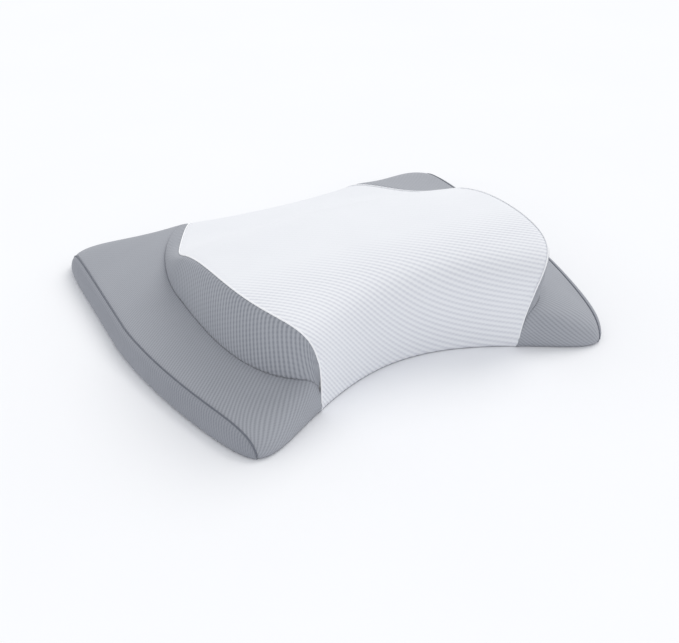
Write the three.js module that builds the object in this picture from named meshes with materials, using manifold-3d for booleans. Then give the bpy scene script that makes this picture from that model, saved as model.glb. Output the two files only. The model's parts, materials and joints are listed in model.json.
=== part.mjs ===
// Contoured bed pillow: a shaped foam core in an inner liner and a zipped, panelled knit cover.
// Millimetres, +Z up, the head of the bed towards +Y. The origin is under the middle, on the bed.
// Every soft layer is one surface at its own depth below the outside of the cover.

import Module from 'manifold-3d';
import * as THREE from 'three';
import { mergeVertices } from 'three/addons/utils/BufferGeometryUtils.js';

// ---- Plan outline ----
const overallLength = 600;
const gussetBulge = 12.5;             // how far an end gusset stands out past its top seam
const endSeamX = overallLength / 2 - gussetBulge;
const waistDepth = 369;               // front to back, halfway along the pillow
const frontFlare = 102.5;             // how far the front corners reach past the waist
const frontWaistRound = 0.8;          // how widely the front edge rounds before it runs straight
const backFlare = 79;                 // the same at the back, whose edge is a circular arc
const frontCornerDrop = 22.7;         // what rounds each corner off
const backCornerDrop = 37;
const cornerPower = 12;
const frontEndSweep = 56;             // how far each end curves in to its front corner
const endSweepPower = 1.5;

// ---- Seams between the panels ----
const crestSeam = { front: 135, middle: 201, back: 112 };  // half the white panel's width
const crestSeamPower = { front: 3.6, back: 1.35 };
const crestSeamRound = 0.15;          // rounds the seam where its front and back halves meet
const wallWidth = 14.8;               // plan width of the steep wall beside the white panel
const wallSpread = 2.4;               // it slopes more gently towards the back
const wallTaperPower = 2.5;
const wallTaperRoot = 0.8;
const wallEnd = { front: 0.9915, back: 0.93 };   // where a wall has narrowed to nothing
const wallReach = { front: -0.972, back: 0.8 }; // its panel ends just short of that
const gussetReach = 0.975;            // and so do the end gussets

// ---- Heights ----
const neckHeight = 131.8;             // the roll under the neck, along the front
const backHeight = 57.3;
const shoulder = { at: 0.27, sweep: 0.16, width: 0.17 };  // where one falls away to the other
const wingFootHeight = 52.3;
const wingEndHeight = 29.8;
const wingCove = 1.05;                // above 1, a wing is hollowed beside its wall
const crestRimPower = { front: 11.9, back: 8.9 };         // how boxy each edge is
const wingFootRimPower = { front: 41, back: 18.7 };
const wingEndRimPower = { front: 14.5, back: 10.8 };
const frontLean = { reach: 29.4, height: 120, power: 1.7 };  // how far the sides lean out
const backLean = { reach: 26.3, height: 90, power: 1.5 };

// ---- Layers, as depths below the outside of the cover ----
const coverThickness = 2;
const linerOuterDepth = 3.4;
const linerThickness = 0.8;
const foamDepth = 6.2;
const baseLift = 0.7;                 // a layer's rim rises off the bed by this share of its depth
const baseInset = 3.2;                // the flat pieces stay this far inside the rim
const linerBaseInset = 6;
const linerBaseLow = 2.6;

// ---- Seam cords ----
const seamAllowance = 3.5;             // room left between a panel's edge and its seam
const foldGap = 0.5;                  // between a wall's foot and its wing
const pipingRadius = 0.9;
const pipingDepth = 0.3;
const pipingSides = 6;

// ---- Zip in the back edge ----
const zipHalfLength = 100;
const zipMiddle = 15;                 // height of the closed line
const coilGap = 1.6;                  // room for the slider's post
const coilHeight = 2.4;
const coilThickness = 1.8;
const coilProud = 0.6;
const tapeDepth = { outer: 0.4, inner: 1.3 };
const tapeClearance = 0.5;
const lowerTapeBottom = 3.4;
const upperTapeTop = 24.2;
const panelAboveZip = 25;
const stopLength = 3;

const sliderLength = 12;
const sliderHeight = 9;
const plateThickness = 1.2;
const innerPlateThickness = 0.8;
const outerPlateBase = 0.95;
const innerPlateTop = -1.65;
const postSize = { length: 2, height: 1 };
const bailSpan = 8.6;
const bailWidth = 1.6;
const bailBar = 0.7;
const bailRise = 2.45;
const tabPivotRise = 0.85;            // the tab's hinge line, above the outer plate
const tabCrossbar = 1;
const tabLength = 23;
const tabWidth = 7;
const tabThickness = 1;
const tabWindow = { from: 0.5, to: 5, width: 2.8 };

// ---- Blank care label, sewn into the back edge ----
const label = { from: 152, to: 178, low: 0.998, high: 0.955, outer: -0.9, inner: -0.4 };

// ---- How finely the shapes are divided ----
const rowsPerHalf = 12;
const centreColumns = 8;
const wallColumns = 3;
const wingColumns = 7;
const gussetColumns = 2;
const tapeColumns = 12;
const pipingSteps = 44;

const lerp = THREE.MathUtils.lerp;
const wasm = await Module();
wasm.setup();
const white = { color: 0xeef0f7, roughness: 0.9 };
const lightGrey = { color: 0xa6aab1, roughness: 0.92 };
const darkGrey = { color: 0x868b93, roughness: 0.92 };

// ---------------------------------------------------------------- the pillow's surface

const backCornerX = endSeamX;
const frontCornerX = endSeamX - frontEndSweep;
const backArcRadius = (backCornerX ** 2 + backFlare ** 2) / (2 * backFlare);

// Rises steeply towards the corner at 1 and levels off past it.
function cornerRound(q) {
  return q <= 1 ? q ** cornerPower : 2 - Math.exp(-cornerPower * (q - 1));
}

function halfDepth(x, eta) {
  if (eta < 0) {
    const q = x / frontCornerX;
    const flare = (Math.hypot(1, q / frontWaistRound) - 1) / (Math.hypot(1, 1 / frontWaistRound) - 1);
    return waistDepth / 2 + frontFlare * flare - frontCornerDrop * cornerRound(q);
  }
  const sag = backArcRadius - Math.sqrt(backArcRadius ** 2 - x ** 2);
  return waistDepth / 2 + sag - backCornerDrop * cornerRound(x / backCornerX);
}

function furthestReach(eta, cornerX) {
  let reach = 0;
  for (let x = 0; x <= cornerX; x += 0.5) reach = Math.max(reach, halfDepth(x, eta));
  return reach;
}

// Puts the middle of the outline's depth at Y = 0.
const middleY = (furthestReach(-1, frontCornerX) - furthestReach(1, backCornerX)) / 2;

function endX(eta) {
  return endSeamX - (eta < 0 ? frontEndSweep * (-eta) ** endSweepPower : 0);
}

function wallTaper(eta) {
  const part = Math.abs(eta) / (eta < 0 ? wallEnd.front : wallEnd.back);
  return Math.max(0, 1 - part ** wallTaperPower) ** wallTaperRoot;
}

// How far the seam has swung, from 0 in the middle to 1 at the front or the back edge.
function seamSwing(eta) {
  if (eta < 0) return (-eta) ** crestSeamPower.front;
  const rounded = (reach) => Math.hypot(reach, crestSeamRound) ** crestSeamPower.back;
  return (rounded(eta) - rounded(0)) / (rounded(1) - rounded(0));
}

function seamX(eta, depth) {
  const end = eta < 0 ? crestSeam.front : crestSeam.back;
  return lerp(crestSeam.middle, end, seamSwing(eta)) - depth * wallTaper(eta);
}

function wallWidthAt(eta) {
  return wallWidth * (1 + wallSpread * Math.max(0, eta) ** 1.5) * wallTaper(eta);
}

function footX(eta, depth) {
  return seamX(eta, depth) + wallWidthAt(eta);
}

function rim(eta, power) {
  return Math.sqrt(1 - Math.abs(eta) ** (eta < 0 ? power.front : power.back));
}

// part is 0 in the middle of the white panel and 1 at its seams, where the shoulder comes sooner.
function crestHeight(eta, part) {
  const fall = (eta - shoulder.at + shoulder.sweep * part ** 2) / shoulder.width;
  return backHeight + (neckHeight - backHeight) / (1 + Math.exp(fall));
}

// A layer's height over the bed, where the outside of the cover would rise to fullHeight.
function layerZ(fullHeight, depth, rise) {
  const low = baseLift * depth;
  return low + (fullHeight - depth - low) * rise;
}

function crestZ(eta, depth, part = 1) {
  return layerZ(crestHeight(eta, part), depth, rim(eta, crestRimPower));
}

// Towards the back a wing's foot would rise above the seam beside it, so it is held down to it.
function wingZ(x, eta, depth) {
  const foot = footX(eta, depth);
  const across = Math.max(0, (x - foot) / (endX(eta) - depth - foot));
  const height = lerp(wingEndHeight, wingFootHeight, (1 - across) ** wingCove);
  const fade = Math.sqrt(across);
  const power = (side) => wingFootRimPower[side] ** (1 - fade) * wingEndRimPower[side] ** fade;
  const z = layerZ(height, depth, rim(eta, { front: power('front'), back: power('back') }));
  const footZ = layerZ(wingFootHeight, depth, rim(eta, wingFootRimPower));
  return z - Math.max(0, footZ - crestZ(eta, depth)) * (1 - across) ** 2;
}

// How far the front or the back leans out past its own foot at this height.
function leanAt(z, eta) {
  const lean = eta < 0 ? frontLean : backLean;
  return Math.sign(eta) * eta ** 2 * lean.reach * (Math.max(0, z) / lean.height) ** lean.power;
}

function pointAt(x, eta, depth, z) {
  const y = middleY + eta * (halfDepth(Math.abs(x), eta) - depth) + leanAt(z, eta);
  return new THREE.Vector3(x, y, z);
}

// ---------------------------------------------------------------- points on each panel
// t runs from the middle of the pillow outwards, 0 to 1 between the panel's own edges.

function centrePoint(t, eta, depth) {
  const edge = seamX(eta, depth) - seamAllowance;
  const x = lerp(-edge, edge, t);
  return pointAt(x, eta, depth, crestZ(eta, depth, x / seamX(eta, depth)));
}

function crestSeamPoint(side, eta, depth) {
  return pointAt(side * seamX(eta, depth), eta, depth, crestZ(eta, depth));
}

// The walls and gussets bulge as a quarter ellipse: level at the seam above, upright at the foot.
// This is the angle round it, leaving the seam allowance at the top and endGap at the foot.
function bulgeAngle(t, width, height, endGap) {
  if (height < endGap + 0.01) return 0;
  const reach = Math.sqrt(width ** 4 + (height * seamAllowance) ** 2) - width ** 2;
  const first = Math.min(0.7, Math.sqrt(2 * reach) / height);
  return lerp(first, Math.PI / 2 - endGap / height, t);
}

function wallPoint(side, t, eta, depth) {
  const foot = wingZ(footX(eta, depth), eta, depth);
  const width = wallWidthAt(eta);
  const height = crestZ(eta, depth) - foot;
  const angle = bulgeAngle(t, width, height, foldGap);
  const x = seamX(eta, depth) + width * Math.sin(angle);
  return pointAt(side * x, eta, depth, foot + height * Math.cos(angle));
}

function footPoint(side, eta, depth) {
  const x = footX(eta, depth);
  return pointAt(side * x, eta, depth, wingZ(x, eta, depth));
}

function wingPoint(side, t, eta, depth) {
  const inner = Math.max(footX(eta, depth) + foldGap, seamX(eta, depth) + seamAllowance);
  const outer = endX(eta) - depth - seamAllowance;
  const x = lerp(inner, outer, 1 - (1 - t) ** 1.5);
  return pointAt(side * x, eta, depth, wingZ(x, eta, depth));
}

function endSeamPoint(side, eta, depth) {
  const x = endX(eta) - depth;
  return pointAt(side * x, eta, depth, wingZ(x, eta, depth));
}

function gussetPoint(side, t, eta, depth) {
  const seam = endSeamPoint(side, eta, depth);
  const low = baseLift * depth;
  const height = seam.z - low;
  const bulge = gussetBulge * height / (wingEndHeight - depth - low);
  const angle = bulgeAngle(t, bulge, height, 0);
  const x = endX(eta) - depth + bulge * Math.sin(angle);
  return pointAt(side * x, eta, depth, low + height * Math.cos(angle));
}

// ---------------------------------------------------------------- closed meshes

// Steps between -1 and 1 that close up towards both ends, where the surface turns down.
function rowsBetween(low, high) {
  const rows = [];
  for (let i = -rowsPerHalf; i <= rowsPerHalf; i++) {
    const part = Math.abs(i) / rowsPerHalf;
    const eta = Math.sign(i) * (1 - (1 - part) ** 2);
    if (eta > low + 0.005 && eta < high - 0.005) rows.push(eta);
  }
  return [low, ...rows, high];
}

function withoutSlivers(geometry) {
  const merged = mergeVertices(geometry, 1e-3);
  const index = merged.index.array;
  const kept = [];
  for (let i = 0; i < index.length; i += 3) {
    const [a, b, c] = [index[i], index[i + 1], index[i + 2]];
    if (a !== b && b !== c && c !== a) kept.push(a, b, c);
  }
  merged.setIndex(kept);
  return merged;
}

function signedVolume(geometry) {
  const corner = (i) => new THREE.Vector3().fromBufferAttribute(geometry.attributes.position, i);
  const index = geometry.index.array;
  let total = 0;
  for (let i = 0; i < index.length; i += 3) {
    const normal = corner(index[i + 1]).cross(corner(index[i + 2]));
    total += corner(index[i]).dot(normal);
  }
  return total / 6;
}

// A closed body between an outer and an inner grid of points, joined round their border.
function closedBetween(outerAt, innerAt, columns, rows) {
  const points = [];
  for (const at of [outerAt, innerAt]) {
    for (const row of rows) {
      for (const column of columns) points.push(...at(column, row).toArray());
    }
  }
  const layer = rows.length * columns.length;
  const faces = [];
  const quad = (a, b, c, d) => faces.push(a, b, c, a, c, d);
  for (let r = 0; r + 1 < rows.length; r++) {
    for (let c = 0; c + 1 < columns.length; c++) {
      const a = r * columns.length + c;
      const b = a + columns.length;
      quad(a, a + 1, b + 1, b);
      quad(layer + a, layer + b, layer + b + 1, layer + a + 1);
    }
  }
  const border = [];
  for (let c = 0; c < columns.length; c++) border.push(c);
  for (let r = 1; r < rows.length; r++) border.push((r + 1) * columns.length - 1);
  for (let c = columns.length - 2; c >= 0; c--) border.push((rows.length - 1) * columns.length + c);
  for (let r = rows.length - 2; r > 0; r--) border.push(r * columns.length);
  border.forEach((from, i) => {
    const to = border[(i + 1) % border.length];
    quad(to, from, layer + from, layer + to);
  });
  const geometry = new THREE.BufferGeometry();
  geometry.setAttribute('position', new THREE.Float32BufferAttribute(points, 3));
  geometry.setIndex(faces);
  const closed = withoutSlivers(geometry);
  if (signedVolume(closed) < 0) closed.setIndex([...closed.index.array].reverse());
  closed.computeVertexNormals();
  return closed;
}

function evenSteps(count) {
  return Array.from({ length: count + 1 }, (_, i) => i / count);
}

function coverPanel(surface, columnCount, rows) {
  const outer = (t, eta) => surface(t, eta, 0);
  const inner = (t, eta) => surface(t, eta, coverThickness);
  return closedBetween(outer, inner, evenSteps(columnCount), rows);
}

// The same lines as the cover's panels, with a line on every seam, from end to end.
function columnsAcross() {
  const half = (side) => [
    (eta, depth) => crestSeamPoint(side, eta, depth),
    ...evenSteps(wallColumns).map((t) => (eta, depth) => wallPoint(side, t, eta, depth)),
    (eta, depth) => footPoint(side, eta, depth),
    ...evenSteps(wingColumns).map((t) => (eta, depth) => wingPoint(side, t, eta, depth)),
    (eta, depth) => endSeamPoint(side, eta, depth),
    ...evenSteps(gussetColumns).map((t) => (eta, depth) => gussetPoint(side, t, eta, depth)),
  ];
  const middle = evenSteps(centreColumns).map((t) => (eta, depth) => centrePoint(t, eta, depth));
  return [...half(-1).reverse(), ...middle, ...half(1)];
}

function foamCore() {
  const rows = rowsBetween(-1, 1);
  const low = baseLift * foamDepth;
  const top = (column, eta) => column(eta, foamDepth);
  const underside = (column, eta) => {
    const point = column(eta, foamDepth);
    const y = point.y - leanAt(point.z, eta) + leanAt(low, eta);
    return point.set(point.x, y, low);
  };
  return closedBetween(top, underside, columnsAcross(), rows);
}

function linerUpper() {
  const rows = rowsBetween(-1, 1);
  const outer = (column, eta) => column(eta, linerOuterDepth);
  const inner = (column, eta) => column(eta, linerOuterDepth + linerThickness);
  return closedBetween(outer, inner, columnsAcross(), rows);
}

// A flat sheet that follows the rim, a fixed distance inside it.
function flatSheet(inset, low, thickness) {
  const columns = columnsAcross();
  const rows = rowsBetween(-1, 1).slice(1, -1);
  const loop = [
    ...columns.map((column) => column(-1, inset)),
    ...rows.map((eta) => gussetPoint(1, 1, eta, inset)),
    ...columns.map((column) => column(1, inset)).reverse(),
    ...rows.map((eta) => gussetPoint(-1, 1, eta, inset)).reverse(),
  ];
  const distinct = loop.filter((p, i) => p.distanceTo(loop[(i + 1) % loop.length]) > 0.05);
  const shape = new THREE.Shape(distinct.map((p) => new THREE.Vector2(p.x, p.y)));
  const sheet = new THREE.ExtrudeGeometry(shape, { depth: thickness, bevelEnabled: false });
  return sheet.translate(0, 0, low);
}

function piping(side, seamPoint, reach) {
  const points = rowsBetween(-reach, reach).map((eta) => seamPoint(side, eta, pipingDepth));
  const path = new THREE.CatmullRomCurve3(points, false, 'centripetal');
  const section = new THREE.Shape();
  for (let i = 0; i < pipingSides; i++) {
    const turn = i * 2 * Math.PI / pipingSides;
    const [x, y] = [pipingRadius * Math.cos(turn), pipingRadius * Math.sin(turn)];
    if (i === 0) section.moveTo(x, y);
    else section.lineTo(x, y);
  }
  const options = { steps: pipingSteps, extrudePath: path, bevelEnabled: false };
  return new THREE.ExtrudeGeometry(section, options);
}

// ---------------------------------------------------------------- the zip

// How far towards the back edge the surface has dropped to this height.
function etaAtHeight(z) {
  return (1 - (z / crestHeight(1, 0)) ** 2) ** (1 / crestRimPower.back);
}

function insetAtHeight(z) {
  return (1 - etaAtHeight(z)) * waistDepth / 2 - leanAt(z, etaAtHeight(z));
}

const zipCentreY = middleY + waistDepth / 2 + backArcRadius;
const zipRadius = backArcRadius + insetAtHeight(zipMiddle);
const zipHalfAngle = zipHalfLength / zipRadius;
const zipLean = Math.atan2(insetAtHeight(zipMiddle + 1) - insetAtHeight(zipMiddle - 1), 2);
const stopHalfAngle = stopLength / 2 / zipRadius;
const sliderEndRoom = stopLength + 0.6;
const sliderRestAngle = -(zipHalfAngle - (sliderLength / 2 + sliderEndRoom) / zipRadius);

function zipTape(low, high) {
  const edge = (t) => lerp(-zipHalfLength, zipHalfLength, t);
  const face = (depth) => (t, z) => pointAt(edge(t), etaAtHeight(z), depth, z);
  const [outer, inner] = [face(tapeDepth.outer), face(tapeDepth.inner)];
  return closedBetween(outer, inner, evenSteps(tapeColumns), [high, low]);
}

// A bar that follows the zip's arc at one height.
function arcBar(fromAngle, toAngle, low, high, curveSegments) {
  const surface = backArcRadius + insetAtHeight((low + high) / 2);
  const [near, far] = [surface - coilProud, surface - coilProud + coilThickness];
  const along = (angle) => angle - Math.PI / 2;
  const shape = new THREE.Shape();
  shape.absarc(0, 0, near, along(fromAngle), along(toAngle), false);
  shape.absarc(0, 0, far, along(toAngle), along(fromAngle), true);
  const options = { depth: high - low, bevelEnabled: false, curveSegments };
  return new THREE.ExtrudeGeometry(shape, options).translate(0, zipCentreY, low);
}

function zipCoil(low) {
  const reach = zipHalfAngle - 2 * stopHalfAngle - 0.3 / zipRadius;
  return arcBar(-reach, reach, low, low + coilHeight, tapeColumns);
}

function zipStop(end) {
  const middle = end * (zipHalfAngle - stopHalfAngle);
  const half = coilGap / 2 + coilHeight;
  const [from, to] = [middle - stopHalfAngle, middle + stopHalfAngle];
  return arcBar(from, to, zipMiddle - half, zipMiddle + half, 2);
}

// The slider's own frame: X along the zip, Y out of the surface, Z up the surface.
function plateShape(length, height) {
  const [halfLength, halfHeight] = [length / 2, height / 2];
  const nose = halfLength - 2.5;
  const shape = new THREE.Shape();
  shape.moveTo(-halfLength, -halfHeight + 1);
  shape.lineTo(-nose, -halfHeight);
  shape.lineTo(nose, -halfHeight);
  shape.lineTo(halfLength, -halfHeight + 1.6);
  shape.lineTo(halfLength, halfHeight - 1.6);
  shape.lineTo(nose, halfHeight);
  shape.lineTo(-nose, halfHeight);
  shape.lineTo(-halfLength, halfHeight - 1);
  shape.closePath();
  return shape;
}

// Extrudes an outline drawn in X and Z from one Y to another.
function plateFrom(shape, low, high) {
  const plate = new THREE.ExtrudeGeometry(shape, { depth: high - low, bevelEnabled: false });
  return plate.rotateX(Math.PI / 2).translate(0, high, 0);
}

function block(xSize, ySize, zSize, x, y, z) {
  return new THREE.BoxGeometry(xSize, ySize, zSize).translate(x, y, z);
}

function joined(pieces) {
  const solids = pieces.map((piece) => {
    piece.deleteAttribute('normal');
    piece.deleteAttribute('uv');
    const merged = mergeVertices(piece, 1e-4);
    const vertProperties = new Float32Array(merged.attributes.position.array);
    const triVerts = new Uint32Array(merged.index.array);
    return new wasm.Manifold(new wasm.Mesh({ numProp: 3, vertProperties, triVerts }));
  });
  const mesh = solids.reduce((whole, solid) => whole.add(solid)).getMesh();
  const geometry = new THREE.BufferGeometry();
  geometry.setAttribute('position', new THREE.Float32BufferAttribute(mesh.vertProperties, 3));
  geometry.setIndex([...mesh.triVerts]);
  geometry.computeVertexNormals();
  return geometry;
}

function zipSlider() {
  const outerTop = outerPlateBase + plateThickness;
  const innerLow = innerPlateTop - innerPlateThickness;
  const postX = -sliderLength / 2 + postSize.length / 2 + 0.5;
  const postLow = innerLow + 0.2;
  const postHigh = outerTop - 0.2;
  const foot = (bailSpan - 1.4) / 2;
  const barY = outerTop + bailRise - bailBar / 2;
  return joined([
    plateFrom(plateShape(sliderLength, sliderHeight), outerPlateBase, outerTop),
    plateFrom(plateShape(sliderLength, sliderHeight), innerLow, innerPlateTop),
    block(postSize.length, postHigh - postLow, postSize.height, postX, (postHigh + postLow) / 2, 0),
    block(1.4, bailRise + 0.2, bailWidth, -foot, outerTop + bailRise / 2 - 0.1, 0),
    block(1.4, bailRise + 0.2, bailWidth, foot, outerTop + bailRise / 2 - 0.1, 0),
    block(bailSpan, bailBar, bailWidth, 0, barY, 0),
  ]);
}

// The tab's own frame has its hinge line on Z, and it points along X.
function zipPullTab() {
  const half = tabWidth / 2;
  const start = -tabCrossbar / 2;
  const outline = new THREE.Shape();
  outline.moveTo(start, -half + 1.2);
  outline.lineTo(tabWindow.to, -half);
  outline.lineTo(tabLength - half, -half);
  outline.absarc(tabLength - half, 0, half, -Math.PI / 2, Math.PI / 2, false);
  outline.lineTo(tabWindow.to, half);
  outline.lineTo(start, half - 1.2);
  outline.closePath();
  const window = new THREE.Path();
  const halfWindow = tabWindow.width / 2;
  window.moveTo(tabWindow.from, -halfWindow);
  window.lineTo(tabWindow.from, halfWindow);
  window.lineTo(tabWindow.to, halfWindow);
  window.lineTo(tabWindow.to, -halfWindow);
  window.closePath();
  outline.holes.push(window);
  return plateFrom(outline, -tabThickness / 2, tabThickness / 2);
}

// ---------------------------------------------------------------- assembly

const pillow = new THREE.Group();

function addPiece(name, geometry, look, parent = pillow) {
  const mesh = new THREE.Mesh(geometry, new THREE.MeshStandardMaterial({ metalness: 0, ...look }));
  mesh.name = name;
  parent.add(mesh);
  return mesh;
}

addPiece('foam_core', foamCore(), { color: 0xf1e9c9, roughness: 0.95 });
addPiece('liner_upper', linerUpper(), { color: 0xf4f4f2, roughness: 0.9 });
const linerBase = flatSheet(linerBaseInset, linerBaseLow, linerThickness);
addPiece('liner_lower', linerBase, { color: 0xf4f4f2, roughness: 0.9 });

const toZip = etaAtHeight(panelAboveZip);
addPiece('centre_panel', coverPanel(centrePoint, centreColumns, rowsBetween(-1, toZip)), white);
addPiece('base_panel', flatSheet(baseInset, 0, coverThickness), darkGrey);
for (const [name, side] of [['left', -1], ['right', 1]]) {
  const wall = (t, eta, depth) => wallPoint(side, t, eta, depth);
  const wing = (t, eta, depth) => wingPoint(side, t, eta, depth);
  const gusset = (t, eta, depth) => gussetPoint(side, t, eta, depth);
  const wallRows = rowsBetween(wallReach.front, wallReach.back);
  addPiece(`${name}_wall_panel`, coverPanel(wall, wallColumns, wallRows), darkGrey);
  addPiece(`${name}_wing_panel`, coverPanel(wing, wingColumns, rowsBetween(-1, 1)), lightGrey);
  const gussetRows = rowsBetween(-gussetReach, gussetReach);
  addPiece(`${name}_end_gusset`, coverPanel(gusset, gussetColumns, gussetRows), darkGrey);
  addPiece(`${name}_crest_piping`, piping(side, crestSeamPoint, 0.999), white);
  addPiece(`${name}_end_piping`, piping(side, endSeamPoint, gussetReach), darkGrey);
}

const nylon = { color: 0xc9ccd3, roughness: 0.6 };
const upperCoilLow = zipMiddle + coilGap / 2;
const lowerCoilLow = zipMiddle - coilGap / 2 - coilHeight;
const upperTape = zipTape(upperCoilLow + coilHeight + tapeClearance, upperTapeTop);
addPiece('zip_tape_upper', upperTape, nylon);
addPiece('zip_tape_lower', zipTape(lowerTapeBottom, lowerCoilLow - tapeClearance), nylon);
addPiece('zip_coil_upper', zipCoil(upperCoilLow), nylon);
addPiece('zip_coil_lower', zipCoil(lowerCoilLow), nylon);
addPiece('zip_stop_closed', zipStop(-1), nylon);
addPiece('zip_stop_open', zipStop(1), nylon);

// The slider turns about the arc's centre, and leans back with the surface.
const sliderArm = new THREE.Group();
sliderArm.position.set(0, zipCentreY, 0);
sliderArm.rotation.z = sliderRestAngle;
const sliderSeat = new THREE.Group();
sliderSeat.position.set(0, -zipRadius, zipMiddle);
sliderSeat.rotation.x = zipLean;
sliderArm.add(sliderSeat);
pillow.add(sliderArm);
const metal = { color: 0xb9bdc4, roughness: 0.35, metalness: 0.9 };
addPiece('zip_slider', zipSlider(), metal, sliderSeat);
const tab = addPiece('zip_pull_tab', zipPullTab(), metal, sliderSeat);
tab.position.y = outerPlateBase + plateThickness + tabPivotRise;

const labelFace = (depth) => (t, eta) => {
  const x = lerp(label.from, label.to, t);
  return pointAt(x, eta, depth, wingZ(x, eta, depth));
};
const labelRows = [label.high, 0.965, 0.978, 0.99, label.low];
const labelSheet = closedBetween(labelFace(label.outer), labelFace(label.inner), evenSteps(2), labelRows);
addPiece('care_label', labelSheet, { color: 0xf6f6f4, roughness: 0.7 });

export default pillow;
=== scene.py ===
"""A contoured foam bed pillow in its panelled knit cover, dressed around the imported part.

Metres, in the part's own frame. Every cover panel is one smooth surface between its seams: it is
evened out into small faces, swollen by a cloth simulation, drawn in at its seams and given the
knit's own relief. The hidden pieces, the zip and the label follow the same surface.
"""
import json
import math

import bmesh
import bpy
import numpy as np
from mathutils import Matrix, Vector


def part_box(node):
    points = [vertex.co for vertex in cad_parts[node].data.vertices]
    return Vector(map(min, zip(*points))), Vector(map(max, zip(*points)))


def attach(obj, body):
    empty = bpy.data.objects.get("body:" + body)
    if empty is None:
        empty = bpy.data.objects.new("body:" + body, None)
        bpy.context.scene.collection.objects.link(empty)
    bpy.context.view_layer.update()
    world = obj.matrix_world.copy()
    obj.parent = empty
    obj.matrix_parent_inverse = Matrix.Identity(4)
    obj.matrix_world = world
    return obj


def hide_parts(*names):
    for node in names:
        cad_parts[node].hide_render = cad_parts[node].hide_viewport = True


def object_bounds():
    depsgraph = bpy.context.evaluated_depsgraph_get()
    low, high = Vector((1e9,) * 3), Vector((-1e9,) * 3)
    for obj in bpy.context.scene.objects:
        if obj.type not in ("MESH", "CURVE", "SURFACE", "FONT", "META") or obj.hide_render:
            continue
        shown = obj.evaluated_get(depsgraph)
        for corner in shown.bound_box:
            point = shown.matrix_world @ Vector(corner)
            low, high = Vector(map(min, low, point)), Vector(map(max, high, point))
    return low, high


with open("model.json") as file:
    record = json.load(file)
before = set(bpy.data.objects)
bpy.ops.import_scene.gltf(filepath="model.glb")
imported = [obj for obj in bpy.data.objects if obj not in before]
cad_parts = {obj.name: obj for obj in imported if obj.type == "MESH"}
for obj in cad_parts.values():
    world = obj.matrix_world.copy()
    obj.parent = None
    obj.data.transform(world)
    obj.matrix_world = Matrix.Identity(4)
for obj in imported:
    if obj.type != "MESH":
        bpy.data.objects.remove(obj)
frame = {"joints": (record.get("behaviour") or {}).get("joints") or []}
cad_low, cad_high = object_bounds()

MM = 0.001

# ---- Plan outline ----
GUSSET_BULGE = 12.5 * MM
END_SEAM_X = cad_high.x - GUSSET_BULGE
WAIST_HALF_DEPTH = 184.5 * MM
FRONT_FLARE, BACK_FLARE = 102.5 * MM, 79 * MM
FRONT_WAIST_ROUND = 0.8
FRONT_CORNER_DROP, BACK_CORNER_DROP = 22.7 * MM, 37 * MM
CORNER_POWER = 12
FRONT_END_SWEEP, END_SWEEP_POWER = 56 * MM, 1.5
FRONT_CORNER_X, BACK_CORNER_X = END_SEAM_X - FRONT_END_SWEEP, END_SEAM_X
BACK_ARC = (BACK_CORNER_X**2 + BACK_FLARE**2) / (2 * BACK_FLARE)

# ---- Seams and heights ----
CREST_SEAM_FRONT, CREST_SEAM_MIDDLE, CREST_SEAM_BACK = 135 * MM, 201 * MM, 112 * MM
CREST_SEAM_POWER_FRONT, CREST_SEAM_POWER_BACK = 3.6, 1.35
CREST_SEAM_ROUND = 0.15              # rounds the seam where its front and back halves meet
WALL_WIDTH, WALL_SPREAD = 14.8 * MM, 2.4       # a wall slopes more gently towards the back
WALL_END_FRONT, WALL_END_BACK = 0.9915, 0.93   # where a wall has narrowed to nothing
WALL_REACH = (-0.984, 0.925)                   # its panel ends just short of that
WALL_TAPER = (2.5, 0.8)
NECK_HEIGHT, BACK_HEIGHT = 131.8 * MM, 57.3 * MM
SHOULDER_AT, SHOULDER_SWEEP, SHOULDER_WIDTH = 0.27, 0.16, 0.17
WING_FOOT_HEIGHT, WING_END_HEIGHT = 52.3 * MM, 29.8 * MM
WING_COVE = 1.05                     # above 1, a wing is hollowed beside its wall
CREST_RIM = (11.9, 8.9)              # how boxy the front and the back are
WING_FOOT_RIM, WING_END_RIM = (41, 18.7), (14.5, 10.8)
FRONT_LEAN = (29.4 * MM, 120 * MM, 1.7)        # how far a side leans out, at which height
BACK_LEAN = (26.3 * MM, 90 * MM, 1.5)
GUSSET_REACH = 0.998

# ---- Layers, as depths below the outside of the cover ----
LINER_DEPTH, LINER_THICKNESS = 3.4 * MM, 0.8 * MM
FOAM_DEPTH = 6.2 * MM
BASE_LIFT = 0.7                      # a layer's rim rises off the bed by this share of its depth
BASE_INSET, LINER_BASE_INSET = 3.2 * MM, 6 * MM
BASE_THICKNESS = 2 * MM
LINER_BASE_LOW = 2.6 * MM

# ---- Cloth ----
CLOTH_THICKNESS = 1.6 * MM
FINE_STEP = 1.7 * MM                 # face size of a cover panel, several to one rib
BACKING_SHARE = 12                   # outer faces to one face of the hidden side
SWELL_LIMIT = 4 * MM
SWELL_FRAMES = 20
SWELL_PRESSURE = 4.0
SEAM_TUCK, SEAM_TUCK_WIDTH = 0.9 * MM, 5 * MM
RIM_TUCK, RIM_TUCK_HEIGHT = 3.5 * MM, 9 * MM
RIB_SHARES = (0.8, 0.2)              # how strongly each of the two crossing families shows

# ---- Knits: the ribs' pitch and height, and the angle of each family from the panel's width ----
CENTRE_KNIT = (6 * MM, 0.14 * MM, (math.radians(-40), math.radians(31)))
WALL_KNIT = (5.5 * MM, 0.11 * MM, (0, math.radians(60)))
WING_KNIT = (3.6 * MM, 0.05 * MM, (math.radians(-31), math.radians(31)))
PLAIN_KNIT = (3.6 * MM, 0.04 * MM, (math.radians(-31), math.radians(31)))
# The same least share and Y range set how strongly the white knit's painted groove shade shows, so its
# front face is painted darker than its top.
FRONT_FACE_RIBS = (0.1, -95 * MM, -150 * MM)  # the least relief, on top, and the Y it grows between

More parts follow.
